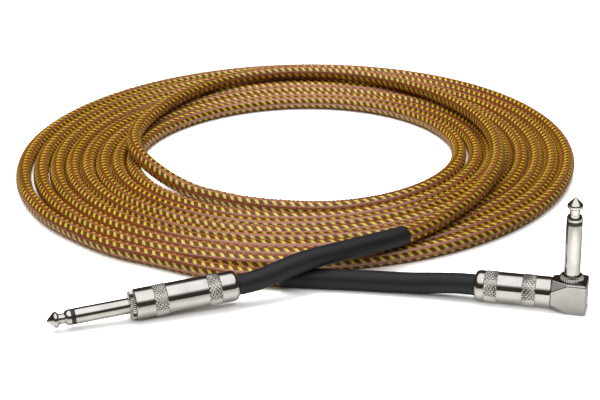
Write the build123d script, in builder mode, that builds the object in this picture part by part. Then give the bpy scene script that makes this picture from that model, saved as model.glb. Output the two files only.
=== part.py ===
"""Quarter-inch instrument cable: one straight and one right-angle two-pole plug on a coiled,
braided lead.  Millimetres, +Z up, resting on Z = 0, origin below the middle of the two plugs."""
import os
from math import cos, pi, radians, sin, tan

from build123d import *

os.makedirs("parts", exist_ok=True)

# ---------------------------------------------------------------- driving dimensions
# contact finger, both plugs: u is the distance from the collar towards the tip
FINGER_R = 3.175
FINGER_LENGTH = 32.3
HEAD_WIDEST_U = 29.1
NECK_FRONT_U = 27.3
NECK_REAR_U = 25.4
SHOULDER_U = 23.6
TIP_REAR_U = 22.75
RING_REAR_U = 21.15
NECK_R = 2.05
POINT_R = 0.65
POINT_LENGTH = 0.35
CROWN_LENGTH = 1.2
CROWN_RISE = 0.4
SHOULDER_ROUND = 0.75
SHOULDER_DROP = 0.37
ROD_R = 1.2
BUSH_R = 2.2
SHANK_R = 2.8
RIVET_LENGTH = 0.7
RIVET_RIM = 0.4
RIVET_DOME = 0.3

# screw-on handle and the threaded spigot it runs on
HANDLE_R = 6.2
KNURL_R = 6.28
HANDLE_FRONT_U = -2.4
HANDLE_REAR_ROUND = 2.2
HANDLE_BORE_R = 5.45
HANDLE_WALL_REAR = 4.0
HANDLE_LIP = 0.3
BAND_RAMP = 0.1
BORE_STEP = 0.6
BOOT_PLAY = 0.2
BAND_WIDTH = 4.8
STRAIGHT_HANDLE = 41.9
STRAIGHT_BANDS = (7.8, 29.6)
ANGLED_HANDLE = 30.6
ANGLED_BANDS = (6.3, 21.5)
THREAD_PITCH = 0.8
THREAD_DEPTH = 0.35
THREAD_R = 4.95
THREAD_CLEARANCE = 0.05
SPIGOT_REAR_U = -9.2
SPIGOT_TURNS = 8

# collars: the knurled flange at the base of each finger
COLLAR_R = 5.75
COLLAR_FACE = 1.6
COLLAR_SHOULDER = 0.7
COLLAR_TEETH = 44
SEAT_R = 4.45
SEAT_HEIGHT = 2.2
SEAT_TEETH = 32
TOOTH_DEPTH = 0.3
TOOTH_SHARE = 0.8

# right-angle head: a square block that turns octagonal where it meets the handle
BLOCK = 12.6
BLOCK_EDGE = 0.6
BLOCK_END_EDGE = 0.4
BLOCK_LENGTH = 13.7
TAPER_LENGTH = 6.3
FINGER_OFFSET = 7.4
CAVITY_R = 4.0
CAVITY_DEPTH = 11.2
SLEEVE_DROP = 0.2
BUSH_DROP = 0.9
DISC_DROP = 1.5
ROD_DROP = 2.9
POCKET_DROP = 3.0
DISC_PLAY = 0.05

# wiring inside the handles
WASHER = 0.7
REAR_INSULATOR = 1.4
LINER_R = 5.3
LINER_WALL = 0.4
LINER_REAR_GAP = 1.0
LINER_FRONT_GAP = 4.0
STRIP_INNER = 3.95
STRIP_THICKNESS = 0.55
STRIP_WIDTH = 3.2
CLAMP_LENGTH = 3.5
CLAMP_OPENING = 2.0
CLAMP_GAP = 1.0
JACKET_CUT = 16.0
BOOT_OVERLAP = 8.0
CORE_R = 1.15
CORE_LEAD_OUT = 2.0
PIGTAIL_R = 0.6
PIGTAIL_LEAD_OUT = 1.5
PIGTAIL_START_DROP = 2.4
PIGTAIL_FOOT_DROP = 3.3
SOLDER_R = 1.25
FOOT_SOLDER_R = 0.94
FOOT_SOLDER_SINK = 0.35
LUG_LENGTH = 7.0
LUG_RISE = 1.7
LUG_THICKNESS = 0.5
LUG_WIDTH = 3.0
LUG_DISC_R = 2.9
LUG_HOLE_R = 0.55
LUG_HOLE_INSET = 1.2
STRAIGHT_FOOT = 7.0
ANGLED_FOOT = 5.0
ANGLED_LUG_GAP = 5.0
ANGLED_LUG_FRONT = 2.2

# lead
CABLE_R = 3.8
BOOT_R = 4.25
BOOT_CLEARANCE = 0.1
AXIS_Z = BLOCK / 2
COIL_OUTER_CENTRE = (-9.85, 168.0)
COIL_OUTER_RADII = (141.0, 153.5)
COIL_HOLE_CENTRE = (-7.35, 168.0)
COIL_HOLE_RADII = (79.0, 79.5)
COIL_HEIGHT = 2 * CABLE_R

# where the plugs lie: the middle of each handle's front edge and the way the plug points
STRAIGHT_FRONT = Vector(-73.45, -20.6, AXIS_Z)
STRAIGHT_YAW = 196.7
STRAIGHT_DIP = 2.9
ANGLED_FRONT = Vector(91.45, -17.8, AXIS_Z)
ANGLED_YAW = -16.5


def heading(yaw, dip=0.0):
    """Unit vector at a compass angle from +X, pointing down by dip degrees."""
    flat = cos(radians(dip))
    return Vector(flat * cos(radians(yaw)), flat * sin(radians(yaw)), -sin(radians(dip)))


def axis_plane(front, way):
    """Plane whose X runs along a plug's axis, with u = 0 at the collar's front face."""
    side = way.cross(Vector(0, 0, 1)).normalized()
    return Plane(origin=front - way * HANDLE_FRONT_U, x_dir=way, z_dir=side)


STRAIGHT_WAY = heading(STRAIGHT_YAW, STRAIGHT_DIP)
ANGLED_WAY = heading(ANGLED_YAW)
STRAIGHT = axis_plane(STRAIGHT_FRONT, STRAIGHT_WAY)
ANGLED = axis_plane(ANGLED_FRONT, ANGLED_WAY)
FINGER_FOOT = ANGLED_FRONT + ANGLED_WAY * FINGER_OFFSET
FINGER_BASE_Z = BLOCK + SEAT_HEIGHT
ANGLED_FINGER = Plane(origin=(FINGER_FOOT.X, FINGER_FOOT.Y, FINGER_BASE_Z), x_dir=(0, 0, 1),
                      z_dir=heading(ANGLED_YAW + 90))


def along(plane, u, rise=0.0, across=0.0):
    """Point at distance u along a plug's axis, lifted and shifted from it."""
    return plane.from_local_coords(Vector(u, rise, across))


def facing_rear(plane, u):
    """Plane square to a plug's axis at u, facing the lead, with its Y up."""
    return Plane(along(plane, u), x_dir=plane.z_dir, z_dir=-plane.x_dir)


def facing_front(plane, u):
    """Plane square to a plug's axis at u, facing away from the lead, with its Y up."""
    return Plane(along(plane, u), x_dir=plane.z_dir, z_dir=plane.x_dir)


STRAIGHT_REAR_U = HANDLE_FRONT_U - STRAIGHT_HANDLE
ANGLED_REAR_U = HANDLE_FRONT_U - ANGLED_HANDLE
BOOT_STRAIGHT_RUN = 9.0

# Route of each boot: straight out of the handle, then down to the floor or over the other boot.
STRAIGHT_BOOT_ROUTE = [
    along(STRAIGHT, STRAIGHT_REAR_U + BOOT_OVERLAP),
    along(STRAIGHT, STRAIGHT_REAR_U - BOOT_STRAIGHT_RUN),
    Vector(-6.9, 3.2, 13.2),
    Vector(16.5, 16.2, 13.1),
    Vector(37.1, 30.2, 12.0),
]
ANGLED_BOOT_ROUTE = [
    along(ANGLED, ANGLED_REAR_U + BOOT_OVERLAP),
    along(ANGLED, ANGLED_REAR_U - BOOT_STRAIGHT_RUN),
    Vector(35.0, -1.4, 4.3),
    Vector(9.3, 3.8, BOOT_R),
    Vector(-16.1, 7.3, BOOT_R),
]
# The last turn of the lead lies on top of the others, crosses to the inside and drops to the floor.
STRAIGHT_LEAD_ROUTE = [
    STRAIGHT_BOOT_ROUTE[-1],
    Vector(49.0, 42.5, 11.6),
    Vector(62.5, 61.0, 11.5),
    Vector(77.0, 86.0, 11.5),
    Vector(89.0, 121.0, 11.5),
    Vector(93.0, 161.0, 11.5),
    Vector(86.0, 203.0, 11.5),
    Vector(66.5, 243.0, 11.5),
    Vector(34.0, 276.0, 11.5),
    Vector(-6.0, 290.5, 11.5),
    Vector(-42.0, 281.5, 11.5),
    Vector(-70.0, 252.0, 11.5),
    Vector(-87.0, 213.0, 11.5),
    Vector(-93.5, 180.0, 11.5),
    Vector(-90.5, 152.0, 11.4),
    Vector(-77.5, 129.0, 8.0),
    Vector(-61.0, 112.0, 4.2),
    Vector(-45.0, 100.5, CABLE_R),
]
ANGLED_LEAD_ROUTE = [
    ANGLED_BOOT_ROUTE[-1],
    Vector(-33.0, 11.0, 3.9),
    Vector(-52.0, 20.0, CABLE_R),
    Vector(-69.6, 31.3, CABLE_R),
]


def save(solid, name):
    """Label a finished piece and write it under its own name."""
    solid.label = name
    export_step(solid, f"parts/{name}.step")


def ring_profile(u_rear, u_front, r_inner, r_outer):
    """Corners of a plain ring's half section."""
    return [(u_rear, r_inner), (u_front, r_inner), (u_front, r_outer), (u_rear, r_outer)]


def turned(plane, points, mode=Mode.ADD):
    """Turn a closed (u, radius) outline about a plug's axis."""
    with BuildSketch(plane) as outline:
        with BuildLine():
            Polyline(*points, close=True)
        make_face()
    revolve(outline.sketch, axis=Axis(plane.origin, plane.x_dir), mode=mode)


def cut_teeth(plane, u_rear, u_front, radius, count):
    """Axial V grooves round a collar."""
    half_width = pi * radius / count * TOOTH_SHARE
    with BuildSketch(Plane(along(plane, u_rear), x_dir=plane.y_dir, z_dir=plane.x_dir)) as grooves:
        with PolarLocations(0, count):
            with BuildLine() as groove:
                Polyline((radius - TOOTH_DEPTH, 0), (radius + TOOTH_DEPTH, half_width * 2),
                         (radius + TOOTH_DEPTH, -half_width * 2), close=True)
            make_face(groove.edges())
    extrude(grooves.sketch, amount=u_front - u_rear, mode=Mode.SUBTRACT)


def path_radii(points):
    """Largest even arc for each corner: 0.45 of the shorter run over tan(half the turn)."""
    radii = []
    for before, corner, after in zip(points, points[1:], points[2:]):
        turn = (corner - before).get_angle(after - corner)
        shorter = min((corner - before).length, (after - corner).length)
        radii.append(0.45 * shorter / tan(radians(turn) / 2))
    return radii


def route(points, radii=None):
    """Straight runs joined by tangent arcs."""
    return FilletPolyline(*points, radius=radii or path_radii(points))


def tube(name, points, outer_r, inner_r=0.0, radii=None):
    """Round tube along a route, compared with its section times its length."""
    radii = radii or path_radii(points)
    with BuildPart() as piece:
        with BuildLine():
            path = route(points, radii)
        with BuildSketch(Plane(origin=path @ 0, z_dir=path % 0)) as section:
            Circle(outer_r)
            if inner_r:
                Circle(inner_r, mode=Mode.SUBTRACT)
        sweep(path=path)
    expected = section.sketch.area * path.length
    print(name, "length", round(path.length, 1), "volume ratio", round(piece.part.volume / expected, 4))
    print("  radii", [round(radius) for radius in radii])
    print("  runs", [round((end - start).length, 1) for start, end in zip(points, points[1:])])
    save(piece.part, name)


# ---------------------------------------------------------------- pieces that both plugs share
def tip(plane, rod_rear_u):
    """Pointed contact with its waist and shoulder, and the rod riveted over at the back."""
    crown_front = HEAD_WIDEST_U + CROWN_LENGTH * 0.35
    crown_base_r = FINGER_R - CROWN_RISE
    rivet_r = ROD_R + RIVET_RIM
    rivet_front = rod_rear_u + RIVET_LENGTH
    with BuildPart() as piece:
        with BuildSketch(plane):
            with BuildLine():
                point = RadiusArc((FINGER_LENGTH, 0), (FINGER_LENGTH - POINT_LENGTH, POINT_R), -POINT_R * 1.1)
                cone = Line(point @ 1, (crown_front, crown_base_r))
                crown = ThreePointArc(cone @ 1, (crown_front - CROWN_LENGTH / 2, FINGER_R),
                                      (crown_front - CROWN_LENGTH, crown_base_r))
                waist = Polyline(crown @ 1, (NECK_FRONT_U, NECK_R), (NECK_REAR_U, NECK_R))
                shoulder = ThreePointArc(waist @ 1, (NECK_REAR_U - SHOULDER_ROUND, FINGER_R - SHOULDER_DROP),
                                         (SHOULDER_U, FINGER_R))
                Polyline(shoulder @ 1, (TIP_REAR_U, FINGER_R), (TIP_REAR_U, ROD_R), (rivet_front, ROD_R),
                         (rivet_front, rivet_r), (rod_rear_u + RIVET_DOME, rivet_r), (rod_rear_u, ROD_R),
                         (rod_rear_u, 0), (FINGER_LENGTH, 0))
            make_face()
        revolve(axis=Axis(plane.origin, plane.x_dir))
    return piece.part


def tip_insulator(plane, bush_rear_u):
    """Black ring between tip and sleeve, with the bush that runs back along the rod."""
    with BuildPart() as piece:
        turned(plane, [(TIP_REAR_U, ROD_R), (TIP_REAR_U, FINGER_R), (RING_REAR_U, FINGER_R),
                       (RING_REAR_U, BUSH_R), (bush_rear_u, BUSH_R), (bush_rear_u, ROD_R)])
    return piece.part


def sleeve(plane, sleeve_rear_u):
    """Round barrel of the finger, with the thinner shank that is pressed into its collar."""
    with BuildPart() as piece:
        turned(plane, [(sleeve_rear_u, BUSH_R), (RING_REAR_U, BUSH_R), (RING_REAR_U, FINGER_R),
                       (0, FINGER_R), (0, SHANK_R), (sleeve_rear_u, SHANK_R)])
    return piece.part


def thread_points(u_front, u_rear):
    """Outline of a screw thread's crests and roots, from front to rear."""
    points = [(u_front, THREAD_R)]
    for turn in range(SPIGOT_TURNS):
        start = u_front - turn * THREAD_PITCH
        points += [(start - 0.15 * THREAD_PITCH, THREAD_R), (start - 0.5 * THREAD_PITCH, THREAD_R - THREAD_DEPTH),
                   (start - 0.85 * THREAD_PITCH, THREAD_R)]
    return points + [(u_rear, THREAD_R)]


def handle(plane, length, bands):
    """Screw-on shell with two knurled bands, a rounded rear and a bore for the boot."""
    front = HANDLE_FRONT_U
    rear = front - length
    outline = [(front, HANDLE_R - HANDLE_LIP), (front - HANDLE_LIP, HANDLE_R)]
    for start in bands:
        band_front = front - start
        band_rear = band_front - BAND_WIDTH
        outline += [(band_front, HANDLE_R), (band_front - BAND_RAMP, KNURL_R),
                    (band_rear + BAND_RAMP, KNURL_R), (band_rear, HANDLE_R)]
    thread_r = THREAD_R + THREAD_CLEARANCE
    boot_r = BOOT_R + BOOT_PLAY
    with BuildPart() as piece:
        with BuildSketch(plane):
            with BuildLine():
                outside = Polyline(*outline, (rear + HANDLE_REAR_ROUND, HANDLE_R))
                corner = RadiusArc(outside @ 1, (rear, HANDLE_R - HANDLE_REAR_ROUND * 0.75),
                                   -HANDLE_REAR_ROUND * 1.05)
                Polyline(corner @ 1, (rear, boot_r), (rear + HANDLE_WALL_REAR, boot_r),
                         (rear + HANDLE_WALL_REAR, HANDLE_BORE_R), (SPIGOT_REAR_U - BORE_STEP, HANDLE_BORE_R),
                         (SPIGOT_REAR_U, thread_r), (front, thread_r), outside @ 0)
            make_face()
        revolve(axis=Axis(plane.origin, plane.x_dir))
    return piece.part


def liner(plane, rear_u):
    """Thin insulating tube inside the handle."""
    with BuildPart() as piece:
        turned(plane, ring_profile(rear_u + HANDLE_WALL_REAR + LINER_REAR_GAP, SPIGOT_REAR_U - LINER_FRONT_GAP,
                                   LINER_R - LINER_WALL, LINER_R))
    return piece.part


def ground_terminal(plane, rear_u, washer_inner_r):
    """Washer on the spigot, a strip along the floor of the handle and a clamp round the jacket."""
    clamp_front = rear_u + JACKET_CUT - CLAMP_GAP
    clamp_rear = clamp_front - CLAMP_LENGTH
    with BuildPart() as piece:
        turned(plane, ring_profile(SPIGOT_REAR_U - WASHER, SPIGOT_REAR_U, washer_inner_r,
                                   STRIP_INNER + STRIP_THICKNESS))
        with BuildSketch(facing_rear(plane, SPIGOT_REAR_U - WASHER / 2)):
            with Locations((0, -(STRIP_INNER + STRIP_THICKNESS / 2))):
                Rectangle(STRIP_WIDTH, STRIP_THICKNESS)
        extrude(amount=SPIGOT_REAR_U - WASHER / 2 - clamp_rear)
        with BuildSketch(facing_rear(plane, clamp_front)):
            Circle(STRIP_INNER + STRIP_THICKNESS)
            Circle(STRIP_INNER, mode=Mode.SUBTRACT)
            with Locations((0, CLAMP_OPENING + CABLE_R)):
                Rectangle(3 * CABLE_R, 2 * CABLE_R, mode=Mode.SUBTRACT)
        extrude(amount=CLAMP_LENGTH)
    return piece.part


def cable_end(name, plane, rear_u, boot_route):
    """Braided lead inside the boot, from the clamp to the boot's end, bent to the same arcs as the boot."""
    tube(name, [along(plane, rear_u + JACKET_CUT)] + boot_route[1:], CABLE_R, radii=path_radii(boot_route))


def conductor(plane, cut_u, lug_u, lug_rise):
    """Insulated centre core from the cut jacket to the tip terminal."""
    points = [along(plane, cut_u), along(plane, cut_u + CORE_LEAD_OUT), along(plane, lug_u, lug_rise)]
    with BuildPart() as piece:
        with BuildLine():
            path = route(points)
        with BuildSketch(Plane(origin=path @ 0, z_dir=path % 0)):
            Circle(CORE_R)
        sweep(path=path)
    return piece.part


def shield_pigtail(plane, cut_u, foot_u):
    """Twisted shield from the cut jacket down to the ground strip."""
    points = [along(plane, cut_u, -PIGTAIL_START_DROP), along(plane, cut_u + PIGTAIL_LEAD_OUT, -PIGTAIL_START_DROP),
              along(plane, foot_u, -PIGTAIL_FOOT_DROP)]
    with BuildPart() as piece:
        with BuildLine():
            path = route(points)
        with BuildSketch(Plane(origin=path @ 0, z_dir=path % 0)):
            Circle(PIGTAIL_R)
        sweep(path=path)
    return piece.part


def solder(plane, lug_u, lug_rise, foot_u):
    """Two domes of solder: the core on its lug and the pigtail on the ground strip."""
    with BuildPart() as piece:
        with Locations(Location(along(plane, lug_u, lug_rise))):
            Sphere(SOLDER_R)
        with Locations(Location(along(plane, foot_u, FOOT_SOLDER_SINK - STRIP_INNER))):
            Sphere(FOOT_SOLDER_R)
    return piece.part


# ---------------------------------------------------------------- straight plug
LUG_U = SPIGOT_REAR_U - WASHER - REAR_INSULATOR
LUG_HOLE_U = LUG_U - LUG_LENGTH + LUG_HOLE_INSET
STRAIGHT_CUT_U = STRAIGHT_REAR_U + JACKET_CUT
STRAIGHT_FOOT_U = STRAIGHT_CUT_U + STRAIGHT_FOOT

save(tip(STRAIGHT, LUG_U - WASHER - RIVET_LENGTH), "straight_tip")
save(tip_insulator(STRAIGHT, SPIGOT_REAR_U - WASHER), "straight_tip_insulator")
save(sleeve(STRAIGHT, SPIGOT_REAR_U), "straight_sleeve")

with BuildPart() as straight_collar:
    turned(STRAIGHT, [(0, SHANK_R), (0, COLLAR_R - COLLAR_FACE), (-0.25, COLLAR_R - COLLAR_SHOULDER),
                      (-0.8, COLLAR_R),
                      (HANDLE_FRONT_U, COLLAR_R)] + thread_points(HANDLE_FRONT_U, SPIGOT_REAR_U)
           + [(SPIGOT_REAR_U, SHANK_R)])
    cut_teeth(STRAIGHT, HANDLE_FRONT_U + 0.25, -0.2, COLLAR_R, COLLAR_TEETH)
save(straight_collar.part, "straight_collar")

with BuildPart() as straight_rear_insulator:
    turned(STRAIGHT, ring_profile(LUG_U, SPIGOT_REAR_U - WASHER, ROD_R, STRIP_INNER - 0.1))
save(straight_rear_insulator.part, "straight_rear_insulator")

with BuildPart() as straight_tip_terminal:
    turned(STRAIGHT, ring_profile(LUG_U - WASHER, LUG_U, ROD_R, LUG_DISC_R))
    with BuildSketch(facing_rear(STRAIGHT, LUG_U - WASHER / 2)):
        with Locations((0, LUG_RISE + LUG_THICKNESS / 2)):
            Rectangle(LUG_WIDTH, LUG_THICKNESS)
    extrude(amount=LUG_LENGTH)
    with BuildSketch(Plane(along(STRAIGHT, LUG_HOLE_U), x_dir=STRAIGHT.x_dir, z_dir=STRAIGHT.y_dir)):
        Circle(LUG_HOLE_R)
    extrude(amount=2 * LUG_WIDTH, mode=Mode.SUBTRACT)
save(straight_tip_terminal.part, "straight_tip_terminal")

save(ground_terminal(STRAIGHT, STRAIGHT_REAR_U, BUSH_R), "straight_ground_terminal")
save(handle(STRAIGHT, STRAIGHT_HANDLE, STRAIGHT_BANDS), "straight_handle")
save(liner(STRAIGHT, STRAIGHT_REAR_U), "straight_liner")
save(conductor(STRAIGHT, STRAIGHT_CUT_U, LUG_HOLE_U - 0.2, LUG_RISE - CORE_R - 0.2), "straight_conductor")
save(shield_pigtail(STRAIGHT, STRAIGHT_CUT_U, STRAIGHT_FOOT_U), "straight_shield_pigtail")
save(solder(STRAIGHT, LUG_HOLE_U, LUG_RISE - 0.7, STRAIGHT_FOOT_U), "straight_solder")

# ---------------------------------------------------------------- right-angle plug
ANGLED_CUT_U = ANGLED_REAR_U + JACKET_CUT
ANGLED_FOOT_U = ANGLED_CUT_U + ANGLED_FOOT
CAVITY_TOP = CAVITY_R - FINGER_BASE_Z + AXIS_Z


def block_section(edge):
    """Square section of the head with its corners cut by edge."""
    half = BLOCK / 2
    near = half - edge
    return [(near, half), (half, near), (half, -near), (near, -half),
            (-near, -half), (-half, -near), (-half, near), (-near, half)]


save(tip(ANGLED_FINGER, CAVITY_TOP - ROD_DROP), "angled_tip")
save(tip_insulator(ANGLED_FINGER, CAVITY_TOP - BUSH_DROP), "angled_tip_insulator")
save(sleeve(ANGLED_FINGER, CAVITY_TOP - SLEEVE_DROP), "angled_sleeve")

with BuildPart() as angled_collar:
    turned(ANGLED_FINGER, [(0, SHANK_R), (0, SEAT_R - 0.7), (-0.5, SEAT_R), (-SEAT_HEIGHT, SEAT_R),
                           (-SEAT_HEIGHT, SHANK_R)])
    cut_teeth(ANGLED_FINGER, -SEAT_HEIGHT + 0.35, 0.1, SEAT_R, SEAT_TEETH)
save(angled_collar.part, "angled_collar")

with BuildPart() as angled_housing:
    octagon_edge = BLOCK / 2 * (1 - tan(pi / 8))
    for offset, edge in ((0.0, octagon_edge), (TAPER_LENGTH, BLOCK_EDGE)):
        with BuildSketch(facing_front(ANGLED, HANDLE_FRONT_U + offset)):
            with BuildLine():
                Polyline(*block_section(edge), close=True)
            make_face()
    loft(ruled=True)
    with BuildSketch(facing_front(ANGLED, HANDLE_FRONT_U + TAPER_LENGTH)):
        with BuildLine():
            Polyline(*block_section(BLOCK_EDGE), close=True)
        make_face()
    extrude(amount=BLOCK_LENGTH - TAPER_LENGTH)
    end_face = angled_housing.faces().sort_by(Axis(ANGLED.origin, ANGLED.x_dir))[-1]
    chamfer(end_face.edges(), length=BLOCK_END_EDGE)
    turned(ANGLED, thread_points(HANDLE_FRONT_U, SPIGOT_REAR_U) + [(SPIGOT_REAR_U, 0), (HANDLE_FRONT_U, 0)])
    turned(ANGLED, [(SPIGOT_REAR_U, 0), (SPIGOT_REAR_U, CAVITY_R), (HANDLE_FRONT_U + CAVITY_DEPTH, CAVITY_R),
                    (HANDLE_FRONT_U + CAVITY_DEPTH, 0)], mode=Mode.SUBTRACT)
    pocket = CAVITY_TOP - POCKET_DROP
    turned(ANGLED_FINGER, [(pocket, 0), (pocket, SHANK_R), (1.0, SHANK_R), (1.0, 0)], mode=Mode.SUBTRACT)
save(angled_housing.part, "angled_housing")

with BuildPart() as angled_rear_insulator:
    turned(ANGLED_FINGER, ring_profile(CAVITY_TOP - DISC_DROP, CAVITY_TOP - BUSH_DROP, ROD_R, SHANK_R - DISC_PLAY))
save(angled_rear_insulator.part, "angled_rear_insulator")

ANGLED_LUG_Z = FINGER_BASE_Z + CAVITY_TOP - DISC_DROP - LUG_THICKNESS
ANGLED_LUG_REAR_U = ANGLED_CUT_U + ANGLED_LUG_GAP
ANGLED_HOLE_U = ANGLED_LUG_REAR_U + LUG_HOLE_INSET
FINGER_U = HANDLE_FRONT_U + FINGER_OFFSET
with BuildPart() as angled_tip_terminal:
    lug_front = FINGER_U + ANGLED_LUG_FRONT
    with BuildSketch(Plane((FINGER_FOOT.X, FINGER_FOOT.Y, ANGLED_LUG_Z), x_dir=ANGLED_WAY)):
        with Locations(((lug_front + ANGLED_LUG_REAR_U) / 2 - FINGER_U, 0)):
            Rectangle(lug_front - ANGLED_LUG_REAR_U, LUG_WIDTH)
        Circle(ROD_R, mode=Mode.SUBTRACT)
        with Locations((ANGLED_HOLE_U - FINGER_U, 0)):
            Circle(LUG_HOLE_R, mode=Mode.SUBTRACT)
    extrude(amount=LUG_THICKNESS)
save(angled_tip_terminal.part, "angled_tip_terminal")

LUG_UNDERSIDE = ANGLED_LUG_Z - AXIS_Z
save(ground_terminal(ANGLED, ANGLED_REAR_U, STRIP_INNER - 0.6), "angled_ground_terminal")
save(handle(ANGLED, ANGLED_HANDLE, ANGLED_BANDS), "angled_handle")
save(liner(ANGLED, ANGLED_REAR_U), "angled_liner")
angled_core_rise = LUG_UNDERSIDE - CORE_R - 0.1
save(conductor(ANGLED, ANGLED_CUT_U, ANGLED_LUG_REAR_U + 0.6, angled_core_rise), "angled_conductor")
save(shield_pigtail(ANGLED, ANGLED_CUT_U, ANGLED_FOOT_U), "angled_shield_pigtail")
save(solder(ANGLED, ANGLED_HOLE_U, LUG_UNDERSIDE - 0.5, ANGLED_FOOT_U), "angled_solder")

# ---------------------------------------------------------------- boots and lead
for side, plane, rear_u, boot_route, lead_route in (
    ("straight", STRAIGHT, STRAIGHT_REAR_U, STRAIGHT_BOOT_ROUTE, STRAIGHT_LEAD_ROUTE),
    ("angled", ANGLED, ANGLED_REAR_U, ANGLED_BOOT_ROUTE, ANGLED_LEAD_ROUTE),
):
    tube(f"{side}_boot", boot_route, BOOT_R, CABLE_R + BOOT_CLEARANCE)
    cable_end(f"{side}_cable_end", plane, rear_u, boot_route)
    tube(f"{side}_lead", lead_route, CABLE_R)

with BuildPart() as cable_coil:
    with BuildSketch():
        with Locations(COIL_OUTER_CENTRE):
            Ellipse(*COIL_OUTER_RADII)
        with Locations(COIL_HOLE_CENTRE):
            Ellipse(*COIL_HOLE_RADII, mode=Mode.SUBTRACT)
    extrude(amount=COIL_HEIGHT)
save(cable_coil.part, "cable_coil")
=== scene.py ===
"""Looks of the instrument cable: camera, one braided lead on its real route, boots, nickel plugs, floor and light."""
import math

import bpy
import numpy as np
from mathutils import Matrix, Vector


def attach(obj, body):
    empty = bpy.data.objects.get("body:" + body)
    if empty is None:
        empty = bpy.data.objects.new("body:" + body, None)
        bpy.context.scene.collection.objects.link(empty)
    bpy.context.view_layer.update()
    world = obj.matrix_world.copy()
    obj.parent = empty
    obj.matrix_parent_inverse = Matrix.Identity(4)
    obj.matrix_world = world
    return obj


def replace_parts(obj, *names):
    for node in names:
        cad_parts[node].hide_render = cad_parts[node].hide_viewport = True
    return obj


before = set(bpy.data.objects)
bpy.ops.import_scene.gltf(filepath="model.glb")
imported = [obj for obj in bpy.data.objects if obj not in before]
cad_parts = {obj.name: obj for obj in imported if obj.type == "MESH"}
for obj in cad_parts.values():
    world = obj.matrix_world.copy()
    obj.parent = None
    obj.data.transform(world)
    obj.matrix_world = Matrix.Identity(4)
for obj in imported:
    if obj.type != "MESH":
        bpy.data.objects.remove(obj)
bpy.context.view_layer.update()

MM = 0.001
TURN = 2 * math.pi

# ---------------------------------------------------------------- sizes, in millimetres
# They are the CAD's, but for the tip's rounder crown, the wider seat, the deeper teeth and the boots' bore.
FINGER_R = 3.175
FINGER_LENGTH = 32.3
HEAD_WIDEST_U = 29.1
NECK_FRONT_U = 27.3
NECK_REAR_U = 25.4
NECK_R = 2.05
SHOULDER_U = 23.6
TIP_REAR_U = 22.75
RING_REAR_U = 21.15
POINT_R = 0.65
CROWN_ROUND = 1.3
CROWN_SET_BACK = 0.35
RIVET_LENGTH = 0.7
RIVET_RIM = 0.4
RIVET_DOME = 0.3
ROD_R = 1.2
BUSH_R = 2.2
SHANK_R = 2.8
HANDLE_R = 6.2
KNURL_R = 6.28
HANDLE_FRONT_U = -2.4
HANDLE_BORE_R = 5.45
HANDLE_REAR_ROUND = 2.2
HANDLE_WALL_REAR = 4.0
BORE_STEP = 0.6
BOOT_PLAY = 0.2
BAND_WIDTH = 4.8
THREAD_PITCH = 0.8
THREAD_DEPTH = 0.35
THREAD_R = 4.95
THREAD_CLEARANCE = 0.05
SPIGOT_REAR_U = -9.2
COLLAR_R = 5.75
COLLAR_TEETH = 44
SEAT_R = 4.7
SEAT_HEIGHT = 2.2
SEAT_TEETH = 32
TOOTH_DEPTH = 0.4
BLOCK = 12.6
BLOCK_EDGE = 0.6
BLOCK_LENGTH = 13.7
TAPER_LENGTH = 6.3
FINGER_OFFSET = 7.4
CAVITY_R = 4.0
SLEEVE_DROP = 0.2
BUSH_DROP = 0.9
ROD_DROP = 2.9
WASHER = 0.7
REAR_INSULATOR = 1.4
JACKET_CUT = 16.0
BOOT_OVERLAP = 8.0
BOOT_STRAIGHT_RUN = 9.0
ROUTE_INSIDE = 4.0
CABLE_R = 3.8
BOOT_R = 4.25
BOOT_BORE_R = 3.87
AXIS_Z = BLOCK / 2
STRAIGHT_HANDLE = 41.9
STRAIGHT_BANDS = (7.8, 29.6)
ANGLED_HANDLE = 30.6
ANGLED_BANDS = (6.3, 21.5)


# ---------------------------------------------------------------- where the plugs lie
def heading(yaw, dip=0.0):
    """Unit vector at a compass angle from +X, pointing down by dip degrees."""
    flat = math.cos(math.radians(dip))
    return Vector((flat * math.cos(math.radians(yaw)), flat * math.sin(math.radians(yaw)),
                   -math.sin(math.radians(dip))))


def plug_frame(origin, way, up=Vector((0, 0, 1))):
    """Matrix in millimetres whose X runs along a plug's axis to its tip, with Z as near up as it can be."""
    side = up.cross(way).normalized()
    rise = way.cross(side)
    return Matrix.Translation(origin) @ Matrix((way, side, rise)).transposed().to_4x4()


STRAIGHT_FRONT = Vector((-73.45, -20.6, AXIS_Z))
STRAIGHT_YAW, STRAIGHT_DIP = 196.7, 2.9
ANGLED_FRONT = Vector((91.45, -17.8, AXIS_Z))
ANGLED_YAW = -16.5

STRAIGHT_WAY = heading(STRAIGHT_YAW, STRAIGHT_DIP)
ANGLED_WAY = heading(ANGLED_YAW)
STRAIGHT = plug_frame(STRAIGHT_FRONT - STRAIGHT_WAY * HANDLE_FRONT_U, STRAIGHT_WAY)
ANGLED = plug_frame(ANGLED_FRONT - ANGLED_WAY * HANDLE_FRONT_U, ANGLED_WAY)
FINGER_FOOT = ANGLED_FRONT + ANGLED_WAY * FINGER_OFFSET
ANGLED_FINGER = plug_frame(Vector((FINGER_FOOT.x, FINGER_FOOT.y, BLOCK + SEAT_HEIGHT)), Vector((0, 0, 1)),
                           -ANGLED_WAY)
STRAIGHT_REAR_U = HANDLE_FRONT_U - STRAIGHT_HANDLE
ANGLED_REAR_U = HANDLE_FRONT_U - ANGLED_HANDLE


def along(plug, u):
    """Point at distance u along a plug's axis."""
    return plug @ Vector((u, 0, 0))


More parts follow.
